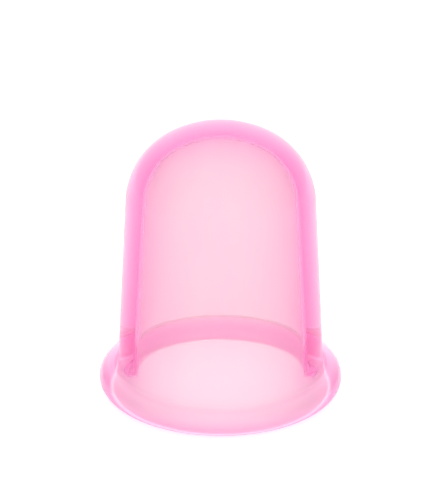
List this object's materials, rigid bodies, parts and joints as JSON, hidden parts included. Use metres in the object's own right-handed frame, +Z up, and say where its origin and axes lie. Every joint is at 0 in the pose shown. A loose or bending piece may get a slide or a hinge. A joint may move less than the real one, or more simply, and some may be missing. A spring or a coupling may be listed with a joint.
{
  "type": "silicone cupping cup",
  "caption": "Domed translucent silicone suction cup with a rolled lip round its open mouth; pressing the crown drives air out and the wall springs back.",
  "frame": {"origin": "centre of the mouth, level with the flat land under the lip that the cup stands on", "axes": "+Z up along the cup's axis, from the mouth to the crown; the cup is round, so +X and +Y are any two directions square to it"},
  "size_m": [0.06, 0.06, 0.068],
  "materials": {
    "silicone": "translucent pink silicone, smooth and satin-glossy"
  },
  "bodies": {
    "cup_base": {"mouth_lip": "silicone", "lower_wall": "silicone", "upper_wall": "silicone"},
    "cup_crown": {"crown": "silicone"}
  },
  "joints": [
    {"name": "crown_press", "type": "slide", "parent": "cup_base", "child": "cup_crown", "axis": [0, 0, -1], "range_m": [0, 0.012], "stiffness_N_per_m": 1000, "deforming": ["upper_wall"]}
  ]
}
